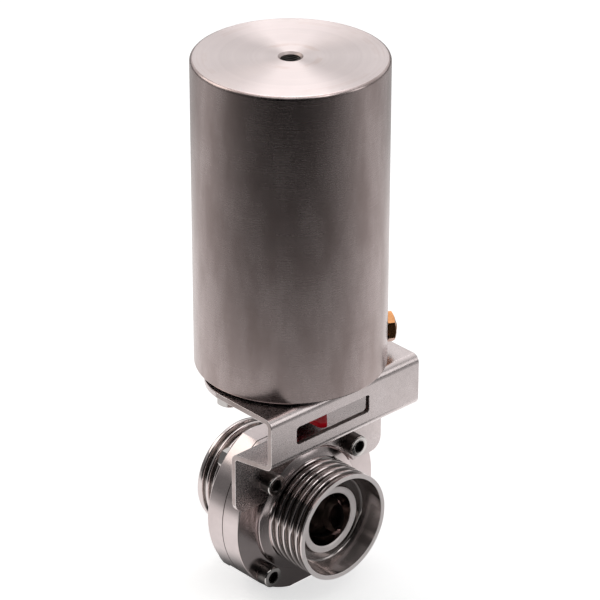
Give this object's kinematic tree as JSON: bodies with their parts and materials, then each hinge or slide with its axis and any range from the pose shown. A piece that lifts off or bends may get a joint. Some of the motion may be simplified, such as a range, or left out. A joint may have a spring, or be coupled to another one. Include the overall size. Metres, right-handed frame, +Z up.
{
  "type": "sanitary butterfly valve with spring-return actuator",
  "caption": "Stainless butterfly valve with threaded ports, a folded bracket with a window and red pointer, and an upright round spring-return air actuator.",
  "frame": {"origin": "centre of the front port's end face, on the pipe axis", "axes": "+Z up the stem to the actuator, +Y along the pipe from the front port to the rear port, X along the bracket"},
  "size_m": [0.0914, 0.087, 0.2599],
  "materials": {
    "body_steel": "satin, port threads and lips polished",
    "cylinder_steel": "brushed round the axis, turned top face",
    "bracket_steel": "fine satin sheet",
    "disc_steel": "polished",
    "screw_steel": "polished",
    "coupling_steel": "turned",
    "cam_steel": "ground",
    "spring_steel": "drawn",
    "base_aluminium": "turned",
    "bearing_bronze": "turned",
    "breather_bronze": "turned hexagon, sintered dome",
    "seal_rubber": "matt",
    "bush_plastic": "matt",
    "pointer_red": "gloss"
  },
  "bodies": {
    "housing": {"front_body": "body_steel", "rear_body": "body_steel", "seal_ring": "seal_rubber", "upper_bush": "bush_plastic", "lower_bush": "bush_plastic", "stem_o_ring": "seal_rubber", "body_screws": "screw_steel", "body_nuts": "screw_steel", "bracket": "bracket_steel", "bracket_bolts": "screw_steel", "bracket_washers": "screw_steel", "actuator_cylinder": "cylinder_steel", "actuator_base": "base_aluminium", "lock_wire": "screw_steel", "base_o_ring": "seal_rubber", "breather": "breather_bronze", "shaft_bushing": "bearing_bronze", "shaft_o_ring": "seal_rubber", "guide_sleeve": "cam_steel", "guide_screws": "screw_steel", "return_spring": "spring_steel"},
    "turning_stem": {"disc": "disc_steel", "coupling": "coupling_steel", "pointer": "pointer_red", "output_shaft": "coupling_steel", "sleeve_dowels": "screw_steel", "cam_sleeve": "cam_steel"},
    "piston_body": {"piston": "base_aluminium", "piston_seal": "seal_rubber", "guide_band": "bush_plastic", "cross_pin": "screw_steel", "rollers": "screw_steel"}
  },
  "joints": [
    {"name": "valve_turn", "type": "hinge", "parent": "housing", "child": "turning_stem", "pos_m": [0, 0.0354, 0], "axis": [0, 0, 1], "range_deg": [0, 90]},
    {"name": "piston_slide", "type": "slide", "parent": "housing", "child": "piston_body", "axis": [0, 0, -1], "range_m": [0, 0.035], "stiffness_N_per_m": 4590, "springref_m": -0.076, "deforming": ["return_spring"]}
  ],
  "couplings": [
    {"joint": "valve_turn", "follows": "piston_slide", "rad_per_m": 44.87}
  ]
}
